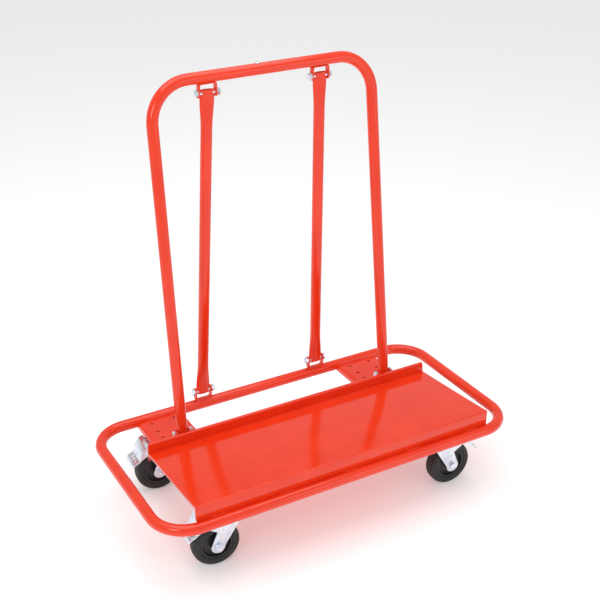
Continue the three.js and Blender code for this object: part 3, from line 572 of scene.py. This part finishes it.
def hexagon(flats, low, high):
    """Six flats with their corners turned off at both ends."""
    corner, face = flats / math.sqrt(3), CHAMFER_FACE * flats
    trim, round_off = 0.5 * (corner - face), 1.01 * corner
    bar = start("cylinder", vertices=6, radius=corner, depth=high - low,
                location=(0, 0, (low + high) / 2))
    turning = turned([(0, low), (face, low), (round_off, low + trim),
                      (round_off, high - trim), (face, high), (0, high)])
    return combine(bar, turning, "INTERSECT")


def threaded(radius, low, high, thread_from):
    """A shank with a rolled thread up to its chamfered end."""
    profile = [(0, low), (radius, low), (radius, thread_from)]
    for i in range(int((high - thread_from) / THREAD_PITCH)):
        valley = thread_from + (i + 0.5) * THREAD_PITCH
        profile += [(radius - THREAD_DEPTH, valley), (radius, valley + THREAD_PITCH / 2)]
    profile += [(radius - END_CHAMFER, high), (0, high)]
    return turned(profile, 24)


def hex_bolt(radius, flats, head, grip, nut, proud):
    """Lies on the upright axis, its grip centred, its head below and its nut above."""
    bolt = hexagon(flats, -grip / 2 - head, -grip / 2)
    combine(bolt, hexagon(flats, grip / 2, grip / 2 + nut), "UNION")
    shank = threaded(radius, -grip / 2 - MM, grip / 2 + nut + proud, grip / 2 + nut - MM)
    return combine(bolt, shank, "UNION")


def bolt_place(name):
    """The length of a bolt's grip, and its middle."""
    low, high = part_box(name)
    grip = high.x - low.x - HEAD_HEIGHT - NUT_HEIGHT - THREAD_PROUD
    head_in = HEAD_HEIGHT + grip / 2
    x = low.x + head_in if low.x < 0 else high.x - head_in
    return grip, Vector((x, (low.y + high.y) / 2, (low.z + high.z) / 2))


screw_low, screw_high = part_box("sleeve_screw")
head_radius = (screw_high.x - screw_low.x) / 2
shank_radius = SCREW_RADIUS - SCREW_SLACK
pan_foot = screw_high.z - PAN_HEIGHT
screw = turned([
    (0, screw_low.z), (SCREW_RADIUS - MM, screw_low.z), (shank_radius, screw_low.z + 1.5 * MM),
    (shank_radius, pan_foot), (head_radius, pan_foot), (head_radius, pan_foot + PAN_EDGE),
    (0.85 * head_radius, pan_foot + PAN_SHOULDER), (0.5 * head_radius, screw_high.z - 0.1 * MM),
    (0, screw_high.z)])
for length, width in ((RECESS_LENGTH, RECESS_WIDTH), (RECESS_WIDTH, RECESS_LENGTH)):
    recess = start("cube", size=1, scale=(length, width, 2 * RECESS_SINK),
                   location=(0, 0, screw_high.z))
    combine(screw, recess, "DIFFERENCE")
set_down(screw, Matrix.Translation((SCREW_X, bar_middle.y, 0)))
fit(screw, "sleeve_pan_screw", zinc, nodes=["sleeve_screw"])

blanks = {}
for joint in ("mast_foot", "strut_foot", "strut_top"):
    for side, word in ((-1, "left"), (1, "right")):
        grip, middle = bolt_place(f"{joint}_bolt_{word}")
        size = round(grip / MM, 1)
        if size not in blanks:
            blanks[size] = hex_bolt(BOLT_RADIUS, BOLT_FLATS, HEAD_HEIGHT, grip, NUT_HEIGHT,
                                    THREAD_PROUD)
        lie = Matrix.Rotation(-side * math.pi / 2, 4, "Y")
        bolt = set_down(copy_of(blanks[size]), Matrix.Translation(middle) @ lie)
        fit(bolt, f"{joint}_hex_bolt_{word}", zinc, nodes=[f"{joint}_bolt_{word}"])
for blank in blanks.values():
    bpy.data.objects.remove(blank)


# ---- Struts ----------------------------------------------------------------------------
# Straight tubes, pressed oval at both ends where the bolts go through, stand between the
# rear rail and the mast's top bar.
STRUT_END_WIDTH, STRUT_END_DEPTH = 40 * MM, 15 * MM
STRUT_FLAT, STRUT_TAPER, STRUT_BEYOND = 16 * MM, 75 * MM, 8 * MM
PRESS_STEPS = 10


def pressed(reach):
    """The tube's width and depth at this distance in from a bolt, next to its round size."""
    part = min(max((reach - STRUT_FLAT) / STRUT_TAPER, 0), 1)
    pressing = 1 - part * part * (3 - 2 * part)
    return [1 + (end / (2 * TUBE_R) - 1) * pressing for end in (STRUT_END_WIDTH, STRUT_END_DEPTH)]


for side, word in ((-1, "left"), (1, "right")):
    foot, top = (bolt_place(f"strut_{end}_bolt_{word}")[1] for end in ("foot", "top"))
    length = (top - foot).length
    taper = [STRUT_FLAT + STRUT_TAPER * i / PRESS_STEPS for i in range(PRESS_STEPS + 1)]
    near = [-STRUT_BEYOND, *taper]
    stations = near + [length - reach for reach in reversed(near)]
    strut = start("circle", vertices=TUBE_EDGES, radius=TUBE_R, location=(0, 0, stations[0]))
    edit(strut)
    bpy.ops.mesh.select_all(action="SELECT")
    width, depth = pressed(stations[0])
    bpy.ops.transform.resize(value=(width, depth, 1), center_override=(0, 0, stations[0]))
    for before, station in zip(stations, stations[1:]):
        push((0, 0, station - before))
        new_width, new_depth = pressed(min(station, length - station))
        bpy.ops.transform.resize(value=(new_width / width, new_depth / depth, 1),
                                 center_override=(0, 0, station))
        width, depth = new_width, new_depth
    done_editing()
    weld_up(strut)
    apply(strut, "SOLIDIFY", thickness=WALL, offset=-1, use_even_offset=True)
    lean = (top - foot).normalized()
    wide = Vector((0, 1, 0)).cross(lean).normalized()
    stand = Matrix((wide, lean.cross(wide), lean)).transposed().to_4x4()
    set_down(strut, Matrix.Translation(foot) @ stand)
    for end in (foot, top):
        combine(strut, bolt_drill(end), "DIFFERENCE")
    fit(strut, f"strut_{word}_tube", paint, nodes=[f"strut_{word}"])


# ---- U brackets ------------------------------------------------------------------------
# Flat bar bent to a U and welded on: two under the top bar, two on the rear rail for the
# struts, and two on the channels for the mast's feet. Their ears take the bolts.
BRACKET_BAR = 4 * MM
BRACKET_FOLD = 5 * MM
EAR_CORNER = 5 * MM
TOE_INSET, TOE_RADIUS = 5 * MM, 1.8 * MM


def bent_strip(points, width, fold):
    """Strip of bare sheet along a path of (x, z) points, running across Y."""
    strip = outline([(x, -width / 2, z) for x, z in points])
    bpy.ops.mesh.select_mode(type="EDGE")
    bpy.ops.mesh.select_all(action="SELECT")
    push((0, width, 0))
    done_editing()
    weld_up(strip)
    fold_edges(strip, fold)
    return strip


webs = {"strut_foot": RING_Z + TUBE_R, "strut_top": bar_middle.z - TUBE_R}
seats = {"strut_foot": (RAIL_Y, RING_Z), "strut_top": (bar_middle.y, bar_middle.z)}
for joint in ("mast_foot", "strut_foot", "strut_top"):
    for side, word in ((-1, "left"), (1, "right")):
        low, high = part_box(f"{joint}_bracket_{word}")
        middle = (low + high) / 2
        half, width = (high.x - low.x - BRACKET_BAR) / 2, high.y - low.y
        web = webs.get(joint, low.z + BRACKET_BAR / 2)
        ear = low.z if joint == "strut_top" else high.z
        bracket = bent_strip([(-half, ear), (-half, web), (half, web), (half, ear)],
                             width, BRACKET_FOLD)
        edit(bracket)
        pick(bracket, "verts", lambda at, _: abs(at.z - ear) < 0.1 * MM)
        bpy.ops.mesh.bevel(affect="VERTICES", offset=EAR_CORNER, segments=6)
        done_editing()
        thicken(bracket, BRACKET_BAR, edge=0.5 * MM)
        set_down(bracket, Matrix.Translation((middle.x, middle.y, 0)))
        combine(bracket, bolt_drill(bolt_place(f"{joint}_bolt_{word}")[1]), "DIFFERENCE")
        if joint in seats:
            seat = rod("x", low.x - CUT_PAST, high.x + CUT_PAST, TUBE_R + COPE_GAP,
                       seats[joint], 64)
            combine(bracket, seat, "DIFFERENCE")
        fit(bracket, f"{joint}_u_bracket_{word}", paint,
            nodes=[f"{joint}_bracket_{word}"])
        toe_z = {"mast_foot": low.z + 1.2 * MM, "strut_foot": web - MM,
                 "strut_top": web + MM}[joint]
        for face, where in ((-1, "front"), (1, "back")):
            toe_y = middle.y + face * (width / 2 + 0.6 * MM)
            bead(f"weld_{joint}_{word}_{where}", (low.x + TOE_INSET, toe_y, toe_z),
                 (high.x - TOE_INSET, toe_y, toe_z), TOE_RADIUS)


# ---- Caster plates and kingpins --------------------------------------------------------
# Each caster is zinc-plated pressed steel. Its top plate sits up against the channel with
# the ball race's upper cup; a kingpin and its nut hold plate and fork together. Casters are
# made with the swivel axis upright at the origin, the wheel trailing to +X.
CASTER_NAMES = ("front_left", "front_right", "rear_left", "rear_right")
GAP = 0.3 * MM
CLEARANCE = 0.5 * MM
PLATE_SHEET, PLATE_CORNER, PLATE_EASE = 4 * MM, 7 * MM, 0.6 * MM
FORK_SHEET = 4 * MM
RACE_RADIUS, BALL_RADIUS = 27 * MM, 3 * MM
LOWER_CUP, UPPER_CUP_EASE = 3.2 * MM, 0.5 * MM
SKIRT_WALL, SKIRT_LIFT, SKIRT_EASE = 2 * MM, 4 * MM, 0.4 * MM
KINGPIN_RADIUS, KINGPIN_FLATS, KINGPIN_NUT = 6 * MM, 19 * MM, 9 * MM
KINGPIN_HEAD_RADIUS, KINGPIN_HEAD = 13 * MM, 3.2 * MM
HEAD_DOME, HEAD_DOME_IN, HEAD_EASE = 1.2 * MM, 1.5 * MM, 0.3 * MM

joints = {joint["name"]: joint for joint in frame["joints"]}


def steer(name, turns=True):
    """The place of a caster, and its heading."""
    pivot = Vector(joints[f"swivel_{name}"]["pos_m"])
    trail = Vector(joints[f"wheel_{name}"]["pos_m"]) - pivot
    heading = math.atan2(trail.y, trail.x) if turns else 0.0
    return Matrix.Translation((pivot.x, pivot.y, 0)) @ Matrix.Rotation(heading, 4, "Z")


def four_of(master, piece, material, body, turns=True):
    """One copy of the master for every caster."""
    ending = "steel" if material is zinc else "moulded"
    for name in CASTER_NAMES:
        copy = set_down(copy_of(master), steer(name, turns))
        rider = body if body == "root" else f"{body}_{name}"
        fit(copy, f"caster_{name}_{piece}_{ending}", material, rider,
            [f"caster_{name}_{piece}"])
    bpy.data.objects.remove(master)


plate_low, plate_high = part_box("caster_front_left_plate")
crown_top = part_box("caster_front_left_ball_race")[0].z - LOWER_CUP - GAP
plate_top, plate_bottom = plate_high.z, plate_high.z - PLATE_SHEET
plate_size = (plate_high.x - plate_low.x, plate_high.y - plate_low.y, PLATE_SHEET)
plate = start("cube", size=1, scale=plate_size, location=(0, 0, (plate_top + plate_bottom) / 2))
edit(plate, "EDGE")
pick(plate, "edges", lambda at, edge: abs(edge.verts[0].co.z - edge.verts[1].co.z) > MM)
bpy.ops.mesh.bevel(offset=PLATE_CORNER, segments=6)
done_editing()
ease(plate, PLATE_EASE)
race_in, race_out = RACE_RADIUS - 2 * BALL_RADIUS, RACE_RADIUS + 2 * BALL_RADIUS
skirt_in, skirt_out = race_out + GAP, race_out + GAP + SKIRT_WALL
cup_top, skirt_low = plate_bottom + MM, crown_top + SKIRT_LIFT
cup_low = crown_top + LOWER_CUP + 2 * GAP + 2 * BALL_RADIUS
cup = turned([
    (race_in, cup_top), (race_in, cup_low + UPPER_CUP_EASE), (race_in + UPPER_CUP_EASE, cup_low),
    (skirt_in, cup_low), (skirt_in, skirt_low + SKIRT_EASE), (skirt_in + SKIRT_EASE, skirt_low),
    (skirt_out - SKIRT_EASE, skirt_low), (skirt_out, skirt_low + SKIRT_EASE),
    (skirt_out, cup_top), (race_in, cup_top)])
combine(plate, cup, "UNION")
recess = rod("z", plate_top - KINGPIN_HEAD - GAP, plate_top + MM, KINGPIN_HEAD_RADIUS + GAP, (0, 0))
combine(plate, recess, "DIFFERENCE")
bore = rod("z", plate_bottom - MM, plate_top, KINGPIN_RADIUS + CLEARANCE, (0, 0))
combine(plate, bore, "DIFFERENCE")
four_of(plate, "plate", zinc, "root", turns=False)

pin_top = plate_top - GAP
head_low = pin_top - KINGPIN_HEAD + GAP
nut_top = crown_top - FORK_SHEET - GAP
nut_low = nut_top - KINGPIN_NUT
pin = turned([
    (0, head_low), (KINGPIN_HEAD_RADIUS - HEAD_EASE, head_low),
    (KINGPIN_HEAD_RADIUS, head_low + HEAD_EASE), (KINGPIN_HEAD_RADIUS, pin_top - HEAD_DOME),
    (KINGPIN_HEAD_RADIUS - HEAD_DOME_IN, pin_top - HEAD_EASE),
    (0.4 * KINGPIN_HEAD_RADIUS, pin_top), (0, pin_top)])
shank = threaded(KINGPIN_RADIUS, -pin_top + MM, -nut_low + THREAD_PROUD, -nut_low - MM)
set_down(shank, Matrix.Rotation(math.pi, 4, "X"))
combine(pin, shank, "UNION")
combine(pin, hexagon(KINGPIN_FLATS, nut_low, nut_top), "UNION")
four_of(pin, "kingpin", zinc, "root")


# ---- Ball races ------------------------------------------------------------------------
# A full ring of hardened balls runs between the fork's cup and the plate's.
BALLS = 26

ball_height = crown_top + LOWER_CUP + GAP + BALL_RADIUS
race = start("ico_sphere", subdivisions=2, radius=BALL_RADIUS,
             location=(RACE_RADIUS, 0, ball_height))
edit(race)
for i in range(1, BALLS):
    bpy.ops.mesh.select_all(action="DESELECT")
    turn = 2 * math.pi * i / BALLS
    place = (RACE_RADIUS * math.cos(turn), RACE_RADIUS * math.sin(turn), ball_height)
    bpy.ops.mesh.primitive_ico_sphere_add(subdivisions=2, radius=BALL_RADIUS, location=place)
done_editing()
four_of(race, "ball_race", zinc, "swivel")


# ---- Forks -----------------------------------------------------------------------------
# A 4 mm pressing: a flat crown with the lower race cup, two slanted legs down to the
# axle, and a short arm out of each for the brake pedal's pin.
TRAIL, WHEEL_RADIUS = 38 * MM, 63.5 * MM
PIVOT_REACH, PIVOT_HEIGHT = 72 * MM, 138 * MM
FORK_HALF_OUT = 26 * MM
CROWN_RADIUS, CROWN_END, CROWN_STEPS = FORK_HALF_OUT + 8 * MM, 60 * MM, 24
CROWN_EASE, LOWER_CUP_EASE, LEG_EASE = 1.2 * MM, 0.6 * MM, 0.6 * MM
LEG_FRONT, LEG_SQUARE, LEG_NOTCH = 26 * MM, 18 * MM, 46 * MM
LEG_END, ARM_END = 19 * MM, 10 * MM
AXLE_RADIUS, PIN_RADIUS = 6 * MM, 4 * MM

axle = Vector((TRAIL, 0, WHEEL_RADIUS))
brake_pivot = Vector((PIVOT_REACH, 0, PIVOT_HEIGHT))


def arc(centre, radius, first, last, steps):
    """Points along an arc in the upright plane of the fork, in degrees from +X."""
    turns = [math.radians(first + (last - first) * i / steps) for i in range(steps + 1)]
    return [(centre.x + radius * math.cos(t), centre.z + radius * math.sin(t)) for t in turns]


def flat_blank(points, thickness, edge, segments=2):
    """A flat outline filled, given its thickness and eased along its edges."""
    blank = outline(points)
    bpy.ops.mesh.select_all(action="SELECT")
    bpy.ops.mesh.edge_face_add()
    done_editing()
    weld_up(blank)
    apply(blank, "SOLIDIFY", thickness=thickness, offset=0.0)
    weld_up(blank)
    ease(blank, edge, segments)
    return blank


def side_plate(points, side, half_out, sheet, edge):
    """A flat blank upright on one side of the caster, its outer face at half_out."""
    across = side * (half_out - sheet / 2)
    return flat_blank([(x, across, z) for x, z in points], sheet, edge)


def cross_drill(centre, radius):
    return rod("y", -CUT_PAST, CUT_PAST, radius + CLEARANCE, (centre.x, centre.z))


leg = [(-LEG_FRONT, crown_top - MM), (-LEG_FRONT, crown_top - LEG_SQUARE)]
leg += arc(axle, LEG_END, 180, 360, 20)
leg += [(axle.x + MM, crown_top - LEG_NOTCH)]
leg += arc(brake_pivot, ARM_END, -90, 60, 10)
leg += [(brake_pivot.x - ARM_END, crown_top - MM)]
crown_edge = [(CROWN_RADIUS * math.cos(t), CROWN_RADIUS * math.sin(t)) for t in (
    math.radians(90 + 180 * i / CROWN_STEPS) for i in range(CROWN_STEPS + 1))]
crown_edge += [(CROWN_END, -FORK_HALF_OUT), (CROWN_END, FORK_HALF_OUT)]
fork = flat_blank([(x, y, crown_top - FORK_SHEET / 2) for x, y in crown_edge],
                  FORK_SHEET, CROWN_EASE, 3)
for side in (-1, 1):
    combine(fork, side_plate(leg, side, FORK_HALF_OUT, FORK_SHEET, LEG_EASE), "UNION")
cup_foot, cup_brim = crown_top - MM, crown_top + LOWER_CUP
cup = turned([
    (race_in, cup_foot), (race_out, cup_foot), (race_out, cup_brim - LOWER_CUP_EASE),
    (race_out - LOWER_CUP_EASE, cup_brim), (race_in + LOWER_CUP_EASE, cup_brim),
    (race_in, cup_brim - LOWER_CUP_EASE), (race_in, cup_foot)])
combine(fork, cup, "UNION")
bore = rod("z", crown_top - 10 * MM, crown_top + 10 * MM, KINGPIN_RADIUS + CLEARANCE, (0, 0))
combine(fork, bore, "DIFFERENCE")
combine(fork, cross_drill(axle, AXLE_RADIUS), "DIFFERENCE")
combine(fork, cross_drill(brake_pivot, PIN_RADIUS), "DIFFERENCE")
four_of(fork, "fork", zinc, "swivel")


# ---- Wheels ----------------------------------------------------------------------------
# A hard black hub with a deep dish each side and a long axle boss carries a solid rubber
# tyre, moulded with a flat tread, stepped sidewalls and a fine mould line.
# Half sections in millimetres: radius, and distance from the middle of the wheel.
TYRE_HALF = [(44, 16.6), (45.1, 17), (47, 17.4), (48, 18.2), (50.5, 18.2), (51, 17.7), (54, 18.0),
             (54.6, 18.7), (56.4, 18.4), (58.4, 17.2), (60.4, 15.4), (61.9, 13.0), (63.0, 9.6),
             (63.4, 5), (63.45, 0.5)]
HUB_HALF = [(6.5, 21.5), (13.6, 21.5), (14.6, 20.8), (15.6, 9), (17.5, 6.4), (33, 5.4), (35.4, 7),
            (37, 14.6), (38, 16), (42.6, 16), (43.7, 15)]
AXLE_FLATS, AXLE_NUT = 19 * MM, 10 * MM

rubber, rubber_surface = shader("black_rubber", (0.016, 0.015, 0.015), 0.6)
mottle(rubber, rubber_surface, (0.011, 0.011, 0.011), (0.024, 0.023, 0.023), 45)
vary_gloss(rubber, rubber_surface, 0.5, 0.7, 70)
ripple(rubber, rubber_surface, 700, 0.00004)
hub_black, hub_surface = shader("hub_black", (0.014, 0.014, 0.015), 0.4)
mottle(hub_black, hub_surface, (0.010, 0.010, 0.011), (0.022, 0.022, 0.024), 80)
vary_gloss(hub_black, hub_surface, 0.32, 0.5, 90)
ripple(hub_black, hub_surface, 500, 0.00003)


def wheel_piece(half, crest, steps):
    """Both halves of a section spun round the axle."""
    half = [(radius * MM, across * MM) for radius, across in half]
    other = [(radius, -across) for radius, across in half]
    to_axle = Matrix.Translation(axle) @ Matrix.Rotation(math.pi / 2, 4, "X")
    return set_down(turned(other + crest + half[::-1] + other[:1], steps), to_axle)


tyre = wheel_piece(TYRE_HALF, [(WHEEL_RADIUS, 0)], 96)
four_of(tyre, "tyre", rubber, "wheel")
hub = wheel_piece(HUB_HALF, [], 72)
four_of(hub, "hub", hub_black, "wheel")

axle_grip = 2 * (FORK_HALF_OUT + GAP)
axle_bolt = hex_bolt(AXLE_RADIUS, AXLE_FLATS, HEAD_HEIGHT, axle_grip, AXLE_NUT, THREAD_PROUD)
set_down(axle_bolt, Matrix.Translation(axle) @ Matrix.Rotation(-math.pi / 2, 4, "X"))
four_of(axle_bolt, "axle_bolt", zinc, "swivel")


# ---- Brake pedals ----------------------------------------------------------------------
# A broad 3 mm pressing hinges on a riveted pin through the fork's arms. Pushed down, its
# heel grips the tyre; a stamped toe tab sticks out behind.
# The paths, the windows' places and the rivet's head are in millimetres.
PEDAL_SHEET, PEDAL_HALF, PEDAL_FOLD, TOE_CORNER = 3 * MM, 29.5 * MM, 4 * MM, 7 * MM
PEDAL_PATH = [(-8, 20), (4, 18), (18, -3), (23, -24), (39, -31), (44, -41)]
CHEEK_PATH = [(-8, 19), (-10, 4), (-7, -9), (8, -14), (20, -22), (23, -23), (17.5, -3), (4, 17),
              (-8, 19)]
ROUND_HOLE_RADIUS, ROUND_HOLE_FROM, ROUND_HOLE_TO, ROUND_HOLE_HEIGHT = 2.6, 12, 30, -13
WINDOW_SIZE, WINDOW_REACH, WINDOW_HEIGHT, WINDOW_PITCH = (5.5, 8, 30), 31, -28, 15
RIVET_HEAD = [(6.5, 0), (5.4, 1.4), (3, 2.4), (0, 2.5)]


def from_pivot(reach, height):
    return brake_pivot.x + reach * MM, brake_pivot.z + height * MM


pedal = bent_strip([from_pivot(*at) for at in PEDAL_PATH], 2 * PEDAL_HALF, PEDAL_FOLD)
toe_x = from_pivot(*PEDAL_PATH[-1])[0]
edit(pedal)
pick(pedal, "verts", lambda at, _: abs(at.x - toe_x) < 0.1 * MM)
bpy.ops.mesh.bevel(affect="VERTICES", offset=TOE_CORNER, segments=6)
done_editing()
thicken(pedal, PEDAL_SHEET, edge=0.5 * MM)
for side in (-1, 1):
    cheek = side_plate([from_pivot(*at) for at in CHEEK_PATH], side, PEDAL_HALF, PEDAL_SHEET,
                       0.4 * MM)
    combine(pedal, cheek, "UNION")
combine(pedal, cross_drill(brake_pivot, PIN_RADIUS), "DIFFERENCE")
hole_from, hole_z = from_pivot(ROUND_HOLE_FROM, ROUND_HOLE_HEIGHT)
hole_to, _ = from_pivot(ROUND_HOLE_TO, ROUND_HOLE_HEIGHT)
combine(pedal, rod("x", hole_from, hole_to, ROUND_HOLE_RADIUS * MM, (0, hole_z)), "DIFFERENCE")
window_x, window_z = from_pivot(WINDOW_REACH, WINDOW_HEIGHT)
for across in (-WINDOW_PITCH, 0, WINDOW_PITCH):
    window = start("cube", size=1, scale=[size * MM for size in WINDOW_SIZE],
                   location=(window_x, across * MM, window_z))
    combine(pedal, window, "DIFFERENCE")
four_of(pedal, "brake_lever", zinc, "brake")

face = PEDAL_HALF + GAP
head = [(radius * MM, face + height * MM) for radius, height in RIVET_HEAD]
other_head = [(radius, -across) for radius, across in head[::-1]]
rivet = turned(other_head + [(PIN_RADIUS, -face), (PIN_RADIUS, face)] + head, 32)
set_down(rivet, Matrix.Translation(brake_pivot) @ Matrix.Rotation(math.pi / 2, 4, "X"))
four_of(rivet, "brake_pin", zinc, "swivel")
